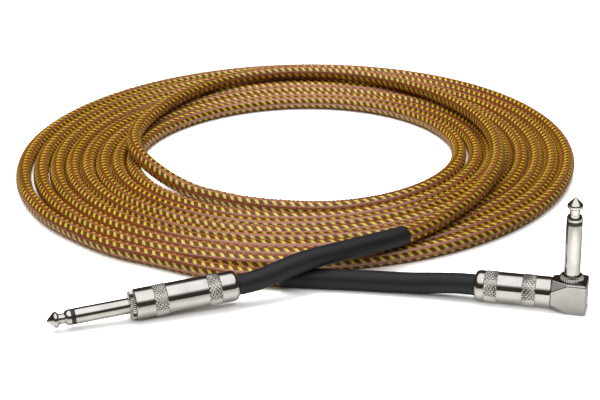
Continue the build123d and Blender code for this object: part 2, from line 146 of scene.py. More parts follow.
# ---------------------------------------------------------------- camera
CAMERA_PLACE = Vector((-7.35, -537.58, 247.24))
CAMERA_ELEVATION, CAMERA_ROLL = 21.0, 1.3
SENSOR_WIDTH, FOCAL_LENGTH = 36.0, 86.75
CLIP_NEAR, CLIP_FAR = 0.02, 60.0


def aim_camera():
    """Long lens, looking down a little, with the slight roll of the original view."""
    elevation, roll = math.radians(CAMERA_ELEVATION), math.radians(CAMERA_ROLL)
    right = Vector((1, 0, 0))
    up = Vector((0, math.sin(elevation), math.cos(elevation)))
    back = right.cross(up)
    rolled_right = right * math.cos(roll) - up * math.sin(roll)
    rolled_up = right * math.sin(roll) + up * math.cos(roll)
    lens = bpy.data.cameras.new("camera")
    lens.sensor_width = SENSOR_WIDTH
    lens.lens = FOCAL_LENGTH
    lens.clip_start, lens.clip_end = CLIP_NEAR, CLIP_FAR
    camera = bpy.data.objects.new("camera", lens)
    camera.matrix_world = Matrix.Translation(CAMERA_PLACE * MM) @ Matrix(
        (rolled_right, rolled_up, back)).transposed().to_4x4()
    bpy.context.scene.collection.objects.link(camera)
    bpy.context.scene.camera = camera


# ---------------------------------------------------------------- the lead's route, in millimetres
TOP_Z = 11.5
STRAIGHT_BOOT_TAIL = (37.1, 30.2, 12.0)
ANGLED_BOOT_TAIL = (-16.1, 7.3, BOOT_R)
# Out of the straight plug, over the other boot, then the last turn of the coil, which lies on top of the rest.
STRAIGHT_END = [
    tuple(along(STRAIGHT, STRAIGHT_REAR_U + JACKET_CUT)),
    tuple(along(STRAIGHT, STRAIGHT_REAR_U + ROUTE_INSIDE)),
    tuple(along(STRAIGHT, STRAIGHT_REAR_U - BOOT_STRAIGHT_RUN)),
    (-6.9, 3.2, 13.2),
    (16.5, 16.2, 13.1),
    STRAIGHT_BOOT_TAIL,
    (49.0, 42.5, 11.6),
    (62.5, 61.0, TOP_Z),
    (77.0, 86.0, TOP_Z),
    (89.0, 121.0, TOP_Z),
    (93.0, 161.0, TOP_Z),
    (86.0, 203.0, TOP_Z),
    (66.5, 243.0, TOP_Z),
    (34.0, 276.0, TOP_Z),
    (-6.0, 290.5, TOP_Z),
    (-42.0, 281.5, TOP_Z),
    (-70.0, 252.0, TOP_Z),
    (-87.0, 213.0, TOP_Z),
    (-93.5, 180.0, TOP_Z),
    (-90.5, 152.0, 11.4),
    (-77.5, 129.0, 8.0),
    (-61.0, 112.0, 4.2),
    (-45.0, 100.5, CABLE_R),
    (-28.0, 90.5, CABLE_R),
]
# From the coil's outermost turn back under the other boot and into the right-angle plug.
ANGLED_END = [
    (-126.5, 85.4, CABLE_R),
    (-111.9, 65.6, CABLE_R),
    (-90.2, 43.2, CABLE_R),
    (-69.6, 31.3, CABLE_R),
    (-52.0, 20.0, CABLE_R),
    (-33.0, 11.0, 3.9),
    ANGLED_BOOT_TAIL,
    (9.3, 3.8, BOOT_R),
    (35.0, -1.4, 4.3),
    tuple(along(ANGLED, ANGLED_REAR_U - BOOT_STRAIGHT_RUN)),
    tuple(along(ANGLED, ANGLED_REAR_U + ROUTE_INSIDE)),
    tuple(along(ANGLED, ANGLED_REAR_U + JACKET_CUT)),
]
POINTS_PER_TURN = 24
FIRST_TURN, LAST_TURN = 0.27, 8.05
# Steps of the spiral on each side of the coil: at turn 0, and for every turn
RIGHT_STEPS = (1.01, 0.885)
LEFT_STEPS = (0.27, 0.946)
FRONT_STEPS = (1.565, 0.74)
BACK_STEPS = (1.25, 0.85)
LEFT_SPREAD, SPREAD_FROM = 0.04, 6.0
SETTLING, SETTLING_TURNS = 0.49, 0.12
# Half the coil's width and depth at step 0, and for every step
HALF_WIDTH, WIDTH_STEP = 72.36, 8.345
HALF_DEPTH, DEPTH_STEP = 66.9, 11.0
COIL_MIDDLE, MIDDLE_DRIFT = (-9.75, 165.3), 0.255
# How far a turn wanders at the coil's front and back, and how the wandering changes from turn to turn
WANDER, WANDER_MORE_BEHIND, WANDER_SHARPNESS = 0.58, 0.32, 1.5
WANDER_RATE, WANDER_START = 0.37, 1.3


def turn_step(turn, angle):
    """How many even steps of the spiral out from its middle a turn lies. The turns are wound closer on some sides,
    and the first one starts nearer to the middle."""
    right = RIGHT_STEPS[0] + RIGHT_STEPS[1] * turn
    left = LEFT_STEPS[0] + LEFT_STEPS[1] * turn + LEFT_SPREAD * max(0.0, turn - SPREAD_FROM) ** 2
    front = FRONT_STEPS[0] + FRONT_STEPS[1] * turn
    back = BACK_STEPS[0] + BACK_STEPS[1] * turn
    across, deep = math.cos(angle), math.sin(angle)
    even = (right + left) / 2 * across ** 2 + (front + back) / 2 * deep ** 2
    settling = SETTLING * math.exp(-(turn - FIRST_TURN) / SETTLING_TURNS)
    return even + (right - left) / 2 * across + (back - front) / 2 * deep - settling


def coil_points():
    """The turns that lie on the floor, from the innermost outwards, anticlockwise. A whole turn number is on the
    left side."""
    count = round((LAST_TURN - FIRST_TURN) * POINTS_PER_TURN)
    outset = 1 / math.cos(math.pi / POINTS_PER_TURN)
    points = []
    for step in range(count + 1):
        turn = FIRST_TURN + (LAST_TURN - FIRST_TURN) * step / count
        angle = TURN * (turn - 0.5)
        loose = (WANDER + WANDER_MORE_BEHIND * math.sin(angle)) * abs(math.sin(angle)) ** WANDER_SHARPNESS
        wander = loose * math.sin(TURN * WANDER_RATE * turn + WANDER_START)
        out = turn_step(turn, angle)
        across = (HALF_WIDTH + WIDTH_STEP * out) * outset
        deep = (HALF_DEPTH + DEPTH_STEP * out + wander) * outset
        points.append((COIL_MIDDLE[0] + MIDDLE_DRIFT * out + across * math.cos(angle),
                       COIL_MIDDLE[1] + deep * math.sin(angle), CABLE_R))
    return points


def lead_line():
    """Points along the middle of the lead, in metres, read from its NURBS curve."""
    route = STRAIGHT_END + coil_points() + ANGLED_END
    curve = bpy.data.curves.new("lead_route", "CURVE")
    curve.dimensions = "3D"
    spline = curve.splines.new("NURBS")
    spline.points.add(len(route) - 1)
    for point, place in zip(spline.points, route):
        point.co = (place[0] * MM, place[1] * MM, place[2] * MM, 1.0)
    spline.order_u = 3
    spline.use_endpoint_u = True
    spline.resolution_u = 16
    holder = bpy.data.objects.new("lead_route", curve)
    mesh = bpy.data.meshes.new_from_object(holder)
    line = np.array([vertex.co for vertex in mesh.vertices], float)
    bpy.data.meshes.remove(mesh)
    bpy.data.objects.remove(holder)
    bpy.data.curves.remove(curve)
    return line


class Line:
    """A smooth line that can be asked for its place and cross directions at any distance along it."""

    def __init__(self, points):
        steps = np.linalg.norm(np.diff(points, axis=0), axis=1)
        self.points = points
        self.at = np.concatenate([[0.0], np.cumsum(steps)])
        self.length = float(self.at[-1])
        tangent = np.gradient(points, self.at, axis=0)
        self.tangent = tangent / np.linalg.norm(tangent, axis=1)[:, None]

    def mix(self, values, s):
        """Values given at the line's points, read at the distances s."""
        return np.stack([np.interp(s, self.at, values[:, k]) for k in range(3)], axis=-1)

    def frames(self, s):
        """Places, sideways and upward unit vectors at the distances s."""
        tangent = self.mix(self.tangent, s)
        tangent /= np.linalg.norm(tangent, axis=-1, keepdims=True)
        side = np.cross(tangent, (0.0, 0.0, 1.0))
        side /= np.linalg.norm(side, axis=-1, keepdims=True)
        return self.mix(self.points, s), side, np.cross(side, tangent)

    def nearest(self, point):
        """Distance along the line of its point nearest to a given one."""
        return float(self.at[np.linalg.norm(self.points - np.array(point), axis=1).argmin()])


# ---------------------------------------------------------------- mesh helpers
def link(name, mesh, materials, body="root"):
    """Make the object, give it its materials and let it ride on its body."""
    piece = bpy.data.objects.new(name, mesh)
    bpy.context.scene.collection.objects.link(piece)
    for material in materials:
        mesh.materials.append(material)
    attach(piece, body)
    return piece


def grid_mesh(name, points, uv, wrap_rows=False, cap_ends=False, smooth_angle=None):
    """Mesh of a grid of points, rows by columns, closed round its columns. uv has one more column than points."""
    rows, columns = points.shape[:2]
    row = np.arange(rows if wrap_rows else rows - 1)[:, None]
    column = np.arange(columns)[None, :]
    after, beside = (row + 1) % rows, (column + 1) % columns
    corners = [row * columns + column, row * columns + beside, after * columns + beside, after * columns + column]
    quads = np.stack([np.broadcast_to(c, (len(row), columns)) for c in corners], axis=-1).reshape(-1, 4)
    faces = quads.tolist()
    if cap_ends:
        faces.append(list(range(columns))[::-1])
        faces.append(list(range((rows - 1) * columns, rows * columns)))
    mesh = bpy.data.meshes.new(name)
    mesh.from_pydata(points.reshape(-1, 3).tolist(), [], faces)
    layer = mesh.uv_layers.new(name="surface")
    uv_corners = [uv[row, column], uv[row, column + 1], uv[(row + 1) % len(uv), column + 1],
                  uv[(row + 1) % len(uv), column]]
    flat = np.stack(uv_corners, axis=2).reshape(-1, 2)
    values = np.zeros((len(mesh.loops), 2), np.float32)
    values[:len(flat)] = flat
    layer.data.foreach_set("uv", values.ravel())
    mesh.polygons.foreach_set("use_smooth", [True] * len(mesh.polygons))
    if smooth_angle:
        mesh.set_sharp_from_angle(angle=math.radians(smooth_angle))
    return mesh


def turned_mesh(name, plug, outline, segments=96, closed=True, relief=None, smooth_angle=28):
    """Turn an outline of (u, radius) points about a plug's axis. relief(u, angle, radius) is added to the radius."""
    outline = np.array(outline, float)
    angle = np.arange(segments) * TURN / segments
    u = np.broadcast_to(outline[:, 0][:, None], (len(outline), segments))
    radius = np.broadcast_to(outline[:, 1][:, None], u.shape).copy()
    if relief is not None:
        radius += relief(u, np.broadcast_to(angle, u.shape), radius)
    local = np.stack([u, -radius * np.sin(angle), radius * np.cos(angle)], axis=-1)
    basis = np.array(plug, float)
    points = (local @ basis[:3, :3].T + basis[:3, 3]) * MM
    run = np.concatenate([[0.0], np.cumsum(np.linalg.norm(np.diff(outline, axis=0), axis=1))])
    around = np.arange(segments + 1) / segments * TURN * outline[:, 1].max()
    uv = np.stack(np.broadcast_arrays(run[:, None], around[None, :]), axis=-1)
    return grid_mesh(name, points, uv, wrap_rows=closed, cap_ends=not closed, smooth_angle=smooth_angle)


def softened(outline, amount=0.15, steps=3, closed=True):
    """The outline with each corner rounded by a small arc."""
    points = [Vector(p) for p in outline]
    result = []
    for index, corner in enumerate(points):
        before, after = points[index - 1], points[(index + 1) % len(points)]
        if not closed and index in (0, len(points) - 1):
            result.append(tuple(corner))
            continue
        reach = min(amount, 0.4 * (before - corner).length, 0.4 * (after - corner).length)
        start = corner + (before - corner).normalized() * reach
        end = corner + (after - corner).normalized() * reach
        for step in range(steps + 1):
            t = step / steps
            result.append(tuple(start * (1 - t) ** 2 + corner * 2 * t * (1 - t) + end * t ** 2))
    return result


# ---------------------------------------------------------------- materials
def node(tree, kind, inputs=None, **settings):
    """Add a shader node, set its properties and inputs; an input that is a socket is linked."""
    made = tree.nodes.new(kind)
    for key, value in settings.items():
        setattr(made, key, value)
    for key, value in (inputs or {}).items():
        if isinstance(value, bpy.types.NodeSocket):
            tree.links.new(value, made.inputs[key])
        else:
            made.inputs[key].default_value = value
    return made


def surface(tree, stretch=(1.0, 1.0, 1.0)):
    """The piece's own surface coordinates in millimetres, stretched."""
    coordinates = node(tree, "ShaderNodeUVMap", uv_map="surface")
    return node(tree, "ShaderNodeMapping", {"Vector": coordinates.outputs["UV"], "Scale": stretch}).outputs["Vector"]


def place(tree, scale):
    """Coordinates in space, scaled."""
    coordinates = node(tree, "ShaderNodeTexCoord")
    return node(tree, "ShaderNodeMapping", {"Vector": coordinates.outputs["Object"],
                                            "Scale": (scale,) * 3}).outputs["Vector"]


def noise(tree, vector, scale=1.0, detail=3.0):
    return node(tree, "ShaderNodeTexNoise", {"Vector": vector, "Scale": scale, "Detail": detail}).outputs["Fac"]


def ramp(tree, factor, stops):
    """Colour ramp through (place, colour or grey) stops."""
    made = node(tree, "ShaderNodeValToRGB", {"Fac": factor})
    elements = made.color_ramp.elements
    while len(elements) < len(stops):
        elements.new(0.5)
    for element, (position, colour) in zip(elements, stops):
        element.position = position
        element.color = (*colour, 1.0) if isinstance(colour, tuple) else (colour, colour, colour, 1.0)
    return made.outputs["Color"]


def mixed(tree, factor, first, second, how="MIX"):
    """Two colours mixed by a factor."""
    made = node(tree, "ShaderNodeMix", data_type="RGBA", blend_type=how)
    for index, value in ((0, factor), (6, first), (7, second)):
        if isinstance(value, bpy.types.NodeSocket):
            tree.links.new(value, made.inputs[index])
        else:
            made.inputs[index].default_value = value if index == 0 else (*value, 1.0)
    return made.outputs[2]


def bump(tree, height, strength, distance_mm):
    """Normal tilted by a height pattern."""
    return node(tree, "ShaderNodeBump", {"Height": height, "Strength": strength,
                                         "Distance": distance_mm * MM}).outputs["Normal"]


def new_material(name, **sockets):
    """Material with a Principled shader whose plain sockets are set from the keywords."""
    made = bpy.data.materials.new(name)
    made.use_nodes = True
    shader = made.node_tree.nodes["Principled BSDF"]
    for key, value in sockets.items():
        socket = shader.inputs[key.replace("_", " ")]
        socket.default_value = (*value, 1.0) if isinstance(value, tuple) else value
    return made, made.node_tree, shader


def feed(tree, shader, **links):
    """Link sockets to the shader's inputs."""
    for key, value in links.items():
        tree.links.new(value, shader.inputs[key.replace("_", " ")])


NICKEL_DULL, NICKEL_BRIGHT = (0.66, 0.635, 0.60), (0.78, 0.76, 0.73)


def nickel_material(name="nickel_plate", lines=0.03, roughness=(0.025, 0.075), shade=1.0):
    """Bright nickel plate on turned brass: faint turning lines, tiny cloudy patches and rubbed spots."""
    made, tree, shader = new_material(name, Metallic=1.0, IOR=1.8)
    cloud = noise(tree, place(tree, 1.0), 160.0, 4.0)
    turning = noise(tree, surface(tree, (9.0, 0.12, 1.0)), 1.0, 2.0)
    # shade scales both colours: below 1 it gives a darker copy of the nickel as painted shade, above 1 a lighter copy
    # as painted light.
    dull, bright = (tuple(shade * value for value in colour) for colour in (NICKEL_DULL, NICKEL_BRIGHT))
    colour = ramp(tree, cloud, [(0.3, dull), (0.7, bright)])
    rough = ramp(tree, mixed(tree, 0.5, cloud, turning), [(0.35, roughness[0]), (0.65, roughness[1])])
    feed(tree, shader, Base_Color=colour, Roughness=rough, Normal=bump(tree, turning, lines, 0.02))
    return made


def plastic_material():
    """Moulded black ring of the finger, faintly speckled."""
    made, tree, shader = new_material("ring_plastic", IOR=1.5)
    speck = noise(tree, place(tree, 1.0), 2500.0, 3.0)
    feed(tree, shader, Base_Color=ramp(tree, speck, [(0.3, (0.012, 0.012, 0.013)), (0.7, (0.03, 0.03, 0.032))]),
         Roughness=ramp(tree, speck, [(0.3, 0.28), (0.7, 0.42)]), Normal=bump(tree, speck, 0.2, 0.03))
    return made


def boot_material():
    """Black flexible boot: fine grain, faint scuffs and dust-grey highlights."""
    made, tree, shader = new_material("boot_rubber", IOR=1.5, Specular_IOR_Level=0.42)
    grain = noise(tree, place(tree, 1.0), 1500.0, 4.0)
    drift = noise(tree, surface(tree, (0.12, 0.3, 1.0)), 1.0, 3.0)
    colour = mixed(tree, drift, (0.008, 0.008, 0.0095), (0.020, 0.020, 0.0225))
    feed(tree, shader, Base_Color=colour, Roughness=ramp(tree, drift, [(0.3, 0.42), (0.7, 0.58)]),
         Normal=bump(tree, grain, 0.45, 0.06))
    return made


def yarn_material(name, dark, light, shine, index=1.9):
    """Textile yarn: fibres along the stitch, seen as fine streaks and as a sheen stretched across them, and painted
    shade darkening each stitch towards its edges, where it dives under its neighbours, with its middle painted a
    little lighter. The surface map runs along and across each stitch."""
    made, tree, shader = new_material(name, IOR=index, Specular_IOR_Level=1.0, Specular_Tint=shine, Anisotropic=0.85,
                                      Anisotropic_Rotation=0.25)
    fibre = noise(tree, surface(tree, (0.5, 5.5, 1.0)), 1.0, 3.0)
    tuft = noise(tree, place(tree, 1.0), 900.0, 2.0)
    batch = noise(tree, place(tree, 1.0), 45.0, 2.0)
    across = node(tree, "ShaderNodeSeparateXYZ", {"Vector": surface(tree)}).outputs["Y"]
    off_middle = node(tree, "ShaderNodeMath", {0: across}, operation="ABSOLUTE").outputs[0]
    # Painted shade: the colour darkens towards the stitch's edges and is lifted a little in its middle.
    edge = ramp(tree, off_middle, [(0.38, 1.08), (0.74, 0.10)])
    body = mixed(tree, ramp(tree, fibre, [(0.3, 0.0), (0.7, 1.0)]), dark, light)
    patch = ramp(tree, mixed(tree, 0.5, tuft, batch), [(0.25, 0.78), (0.75, 1.2)])
    worn = mixed(tree, 1.0, body, patch, "MULTIPLY")
    feed(tree, shader, Base_Color=mixed(tree, 1.0, worn, edge, "MULTIPLY"),
         Roughness=ramp(tree, tuft, [(0.3, 0.26), (0.7, 0.38)]), Normal=bump(tree, fibre, 0.35, 0.08),
         Tangent=node(tree, "ShaderNodeTangent", direction_type="UV_MAP", uv_map="surface").outputs["Tangent"])
    return made


def plain_material(name, dark, light, roughness, metallic=0.0, scale=400.0):
    """Inner pieces: mottled colour and a fine grain."""
    made, tree, shader = new_material(name, Metallic=metallic)
    mottle = noise(tree, place(tree, 1.0), scale, 4.0)
    feed(tree, shader, Base_Color=ramp(tree, mottle, [(0.3, dark), (0.7, light)]),
         Roughness=ramp(tree, mottle, [(0.3, roughness), (0.7, roughness + 0.15)]),
         Normal=bump(tree, mottle, 0.2, 0.05))
    return made


# ---------------------------------------------------------------- braided lead
ROWS = 6
STITCH_PITCH = 2.1
STITCH_SLANT = 50.0
YELLOW_SHARE = 0.58
YELLOW_WIDENING = 0.08
CREST = 0.06
VALLEY = 0.36
FLAT_TWIST_LENGTH = 2600.0


def braid_mesh(line):
    """Tubular braid as columns of slanted stitches, every other column leaning the other way. In the wider columns
    each second stitch is yellow; all the rest are brown, and the brown ones between the yellow stitches take a
    darker copy of the brown, which is painted shade."""
    around = 4 * ROWS
    wide, narrow = YELLOW_SHARE / ROWS, (1 - YELLOW_SHARE) / ROWS
    j = np.arange(around + 1)
    share = j // 4 / ROWS + np.array([0.0, wide / 2, wide, wide + narrow / 2])[j % 4]
    lean = 0.5 / ROWS * TURN * CABLE_R / math.tan(math.radians(STITCH_SLANT)) * MM
    zigzag = np.array([1.0, 0.5, 0.0, 0.5])[j % 4] * lean
    step = STITCH_PITCH * MM / 2
    rings = int((line.length - lean) / step)
    i = np.arange(rings)[:, None]
    s = i * step + np.where(i % 4 == 2, YELLOW_WIDENING, 0.0) * 2 * step + np.where(
        i % 4 == 1, YELLOW_WIDENING, 0.0) * step + zigzag[None, :]
    angle = share[None, :] * TURN + s / (FLAT_TWIST_LENGTH * MM) * TURN
    centre, side, rise = line.frames(s)
    crest = (j % 2 == 1)[None, :] & ((i % 2 == 1) ^ (j % 4 == 3)[None, :])
    radius = np.where(crest, CABLE_R + CREST, CABLE_R - VALLEY) * MM
    points = centre + radius[..., None] * (np.cos(angle)[..., None] * side + np.sin(angle)[..., None] * rise)
    row, column = np.meshgrid(np.arange(rings - 1), np.arange(around), indexing="ij")
    leaning_back = (column // 2) % 2 == 1
    stitch = np.where(leaning_back, row + 1, row) // 2
    # Material 0 yellow, 1 brown, 2 the darker copy of the brown between the yellow stitches: painted shade.
    kind = np.where(leaning_back, 1, np.where(stitch % 2 == 1, 2, 0)).ravel()
    mesh = grid_mesh("lead", points[:, :around], np.zeros((rings, around + 1, 2)), cap_ends=True)
    mesh.polygons.foreach_set("material_index", np.concatenate([kind, [1, 1]]).astype(np.int32))
    along_stitch = (column % 2)[..., None] - 1 + np.array([0, 1, 1, 0])
    half_length = np.where(leaning_back, narrow, wide) * math.pi * CABLE_R / math.sin(math.radians(STITCH_SLANT))
    half_width = STITCH_PITCH / 2 * math.sin(math.radians(STITCH_SLANT))
    phase = (row + leaning_back) % 2
    across_stitch = phase[..., None] - 1 + np.array([0, 0, 1, 1])
    flip = np.where(leaning_back, -1.0, 1.0)
    uv = np.stack([along_stitch * half_length[..., None], across_stitch * half_width * flip[..., None]], axis=-1)
    values = np.zeros((len(mesh.loops), 2), np.float32)
    values[:uv.size // 2] = uv.reshape(-1, 2)
    mesh.uv_layers["surface"].data.foreach_set("uv", values.ravel())
    return mesh


def boot_mesh(name, line, start, end):
    """Flexible sleeve along part of the lead's line, with rounded lips and a slightly uneven wall."""
    lip, inset, segments = 0.45, 2.0, 48
    outline = [(start + lip, BOOT_BORE_R), (start, BOOT_BORE_R + lip / 2), (start + lip, BOOT_R)]
    inner = np.linspace(start + inset, end - inset, int(end - start) + 1)
    outline += [(s, BOOT_R) for s in inner]
    outline += [(end - lip, BOOT_R), (end - lip * 0.3, BOOT_R - lip * 0.25), (end, BOOT_BORE_R + lip / 3),
                (end - lip, BOOT_BORE_R)]
    outline += [(s, BOOT_BORE_R) for s in inner[::-1]]
    outline = np.array(outline)
    angle = np.arange(segments) * TURN / segments
    s = np.broadcast_to(outline[:, 0][:, None], (len(outline), segments))
    outside = (outline[:, 1] > BOOT_BORE_R + lip / 2)[:, None]
    uneven = 0.035 * np.sin(s / 7.3 + 2 * np.sin(angle)) + 0.025 * np.sin(s / 2.9 + angle * 2)
    radius = outline[:, 1][:, None] + np.where(outside, uneven, 0.0)
    centre, side, rise = line.frames(s * MM)
    points = centre + radius[..., None] * MM * (np.cos(angle)[None, :, None] * side
                                                + np.sin(angle)[None, :, None] * rise)
    around = np.arange(segments + 1) / segments * TURN * BOOT_R
    uv = np.stack(np.broadcast_arrays(outline[:, 0][:, None], around[None, :]), axis=-1)
    return grid_mesh(name, points, uv, wrap_rows=True, smooth_angle=50)


# ---------------------------------------------------------------- plug pieces
def tip_outline(rod_rear_u):
    """Pointed tip with its waist and shoulder, and the rod riveted over at the back."""
    crown_u = HEAD_WIDEST_U - CROWN_SET_BACK
    crown = [(crown_u + CROWN_ROUND * math.cos(a), FINGER_R - CROWN_ROUND * (1 - math.sin(a)))
             for a in np.linspace(math.radians(48), math.radians(168), 15)]
    shoulder = [(NECK_REAR_U, NECK_R), (NECK_REAR_U - 0.3, NECK_R + 0.42), (NECK_REAR_U - 0.75, FINGER_R - 0.37),
                (NECK_REAR_U - 1.25, FINGER_R - 0.1), (SHOULDER_U, FINGER_R)]
    point = [(FINGER_LENGTH - POINT_R * 0.8 * (1 - math.cos(a)), max(0.02, POINT_R * math.sin(a)))
             for a in np.linspace(0, 0.3 * math.pi, 6)]
    waist = [(NECK_FRONT_U + 0.12, NECK_R + 0.09), (NECK_FRONT_U - 0.15, NECK_R)]
    rear = [(TIP_REAR_U + 0.08, FINGER_R), (TIP_REAR_U, FINGER_R - 0.08), (TIP_REAR_U, ROD_R)]
    rivet_r = ROD_R + RIVET_RIM
    rivet = [(rod_rear_u + RIVET_LENGTH, ROD_R), (rod_rear_u + RIVET_LENGTH, rivet_r),
             (rod_rear_u + RIVET_DOME, rivet_r), (rod_rear_u, ROD_R), (rod_rear_u, 0.02)]
    return point + crown + waist + shoulder + rear + rivet


def teeth(count, rear_u, front_u, full_r):
    """Relief of axial V grooves round a collar, between two distances along it."""
    def relief(u, angle, radius):
        saw = np.abs((angle * count / TURN) % 1.0 - 0.5) * 2
        inside = (u > rear_u) & (u < front_u) & (radius > full_r - 0.75)
        return np.where(inside, -TOOTH_DEPTH * np.clip(1 - saw * 1.05, 0, 1), 0.0)
    return relief


def thread(u, angle, radius):
    """Relief of the spigot's screw thread: a helix of V grooves."""
    phase = (u / THREAD_PITCH + angle / TURN) % 1.0
    depth = THREAD_DEPTH * np.clip(1.25 * (1 - np.abs(phase - 0.5) * 2) - 0.12, 0, 1)
    on_thread = (np.abs(radius - THREAD_R) < 0.01) & (u < HANDLE_FRONT_U - 0.3) & (u > SPIGOT_REAR_U + 0.25)
    return np.where(on_thread, -depth, 0.0)


def spigot_outline():
    """Outside of the threaded spigot, finely stepped so that the helix shows."""
    steps = int((HANDLE_FRONT_U - SPIGOT_REAR_U) / THREAD_PITCH * 8)
    return [(u, THREAD_R) for u in np.linspace(HANDLE_FRONT_U - 0.02, SPIGOT_REAR_U + 0.2, steps)] + [
        (SPIGOT_REAR_U, THREAD_R - 0.25)]


def straight_collar_mesh():
    """Toothed collar at the foot of the straight finger, with its threaded spigot."""
    outline = softened([(0, SHANK_R), (0, COLLAR_R - 1.75), (-0.3, COLLAR_R - 0.75), (-0.85, COLLAR_R - 0.1),
                        (-1.2, COLLAR_R), (-2.15, COLLAR_R), (-2.3, COLLAR_R - 0.12)], 0.1, 2, closed=False)
    outline += spigot_outline() + [(SPIGOT_REAR_U, SHANK_R)]
    knurl = teeth(COLLAR_TEETH, -2.2, -0.5, COLLAR_R)
    return turned_mesh("straight_collar_turned", STRAIGHT, outline, COLLAR_TEETH * 6,
                       relief=lambda u, a, r: knurl(u, a, r) + thread(u, a, r))


def seat_mesh():
    """Toothed seat under the upright finger."""
    outline = softened([(0.0, SHANK_R), (0.0, SEAT_R - 0.75), (-0.15, SEAT_R - 0.3), (-0.5, SEAT_R),
                        (-SEAT_HEIGHT + 0.3, SEAT_R), (-SEAT_HEIGHT + 0.25, SEAT_R - 0.1),
                        (-SEAT_HEIGHT, SEAT_R - 0.1), (-SEAT_HEIGHT, SHANK_R)], 0.06, 2)
    return turned_mesh("angled_seat_turned", ANGLED_FINGER, outline, SEAT_TEETH * 6,
                       relief=teeth(SEAT_TEETH, -SEAT_HEIGHT + 0.35, 0.1, SEAT_R))


DIAMONDS_ROUND = 24
DIAMOND_PITCH = 1.42
KNURL_RISE, KNURL_DEPTH = 0.1, 0.42
# Faces sunk deeper than this below the knurl's top get the darker nickel: painted shade in the grooves.
PAINTED_SHADE_DEPTH = 0.27


def handle_mesh(name, plug, length, bands):
    """Screw-on shell with two diamond-knurled bands, a rounded rear and its bore. Its second material, a darker copy
    of the nickel that is painted shade, goes on the knurl's grooves and its third, a lighter copy that is painted
    light, on the rest of the bands."""
    front = HANDLE_FRONT_U
    rear = front - length
    flat, chamfer, recess, recess_width = 0.04, 0.4, 0.2, 0.3
    outside = [(front, HANDLE_R - 0.45), (front - 0.12, HANDLE_R - 0.2), (front - chamfer, HANDLE_R),
               (front - chamfer - flat, HANDLE_R)]
    for start in bands:
        band_front, band_rear = front - start, front - start - BAND_WIDTH
        outside += [(band_front + recess_width + flat, HANDLE_R), (band_front + recess_width, HANDLE_R),
                    (band_front + 0.05, HANDLE_R - recess)]
        outside += [(u, KNURL_R) for u in np.linspace(band_front, band_rear, 41)]
        outside += [(band_rear - 0.05, HANDLE_R - recess), (band_rear - recess_width, HANDLE_R),
                    (band_rear - recess_width - flat, HANDLE_R)]
    corner = [(rear + HANDLE_REAR_ROUND * (1 - math.sin(a)), HANDLE_R - HANDLE_REAR_ROUND * 0.8 * (1 - math.cos(a)))
              for a in np.linspace(0, math.pi / 2, 9)]
    corner.insert(0, (rear + HANDLE_REAR_ROUND + flat, HANDLE_R))
    boot_r, thread_r = BOOT_R + BOOT_PLAY, THREAD_R + THREAD_CLEARANCE
    bore = [(rear, boot_r + 0.1), (rear + 0.1, boot_r), (rear + HANDLE_WALL_REAR, boot_r),
            (rear + HANDLE_WALL_REAR, HANDLE_BORE_R), (SPIGOT_REAR_U - BORE_STEP, HANDLE_BORE_R),
            (SPIGOT_REAR_U, thread_r), (front - 0.3, thread_r), (front, THREAD_R + 0.2)]

    def knurl(u, angle, radius):
        """Relief of the two bands: diamonds between two crossing sets of helical grooves."""
        twist = u / DIAMOND_PITCH
        first = np.abs((angle * DIAMONDS_ROUND / TURN + twist) % 1.0 - 0.5) * 2
        second = np.abs((angle * DIAMONDS_ROUND / TURN - twist) % 1.0 - 0.5) * 2
        height = 1 - np.maximum(first, second)
        banded = np.zeros(u.shape, bool)
        for start in bands:
            banded |= (u <= front - start) & (u >= front - start - BAND_WIDTH)
        banded &= radius > HANDLE_R
        return np.where(banded, KNURL_RISE - KNURL_DEPTH * (1 - np.clip(height * 1.3, 0, 1)), 0.0)

    outline = outside + corner + bore
    mesh = turned_mesh(name, plug, outline, DIAMONDS_ROUND * 12, relief=knurl, smooth_angle=18)
    centres = np.zeros(len(mesh.polygons) * 3)
    mesh.polygons.foreach_get("center", centres)
    inverse = np.array(plug.inverted(), float)
    local = centres.reshape(-1, 3) / MM @ inverse[:3, :3].T + inverse[:3, 3]
    radius = np.hypot(local[:, 1], local[:, 2])
    band = np.zeros(len(local), bool)
    for start in bands:
        band |= (local[:, 0] < front - start) & (local[:, 0] > front - start - BAND_WIDTH)
    band &= radius > HANDLE_R - 0.5
    # Painted shade (a darker nickel) on faces deep in the knurl's grooves, painted light (a lighter nickel) on the
    # rest of the bands.
    painted_groove_shade = band & (radius < KNURL_R - PAINTED_SHADE_DEPTH)
    mesh.polygons.foreach_set("material_index", np.where(painted_groove_shade, 1, np.where(band, 2, 0)).astype(np.int32))
    return mesh


def block_section(edge, half):
    """Square of a half width with its corners cut off by edge, as (y, z) points."""
    near = half - edge
    return [(near, half), (half, near), (half, -near), (near, -half),
            (-near, -half), (-half, -near), (-half, near), (-near, half)]


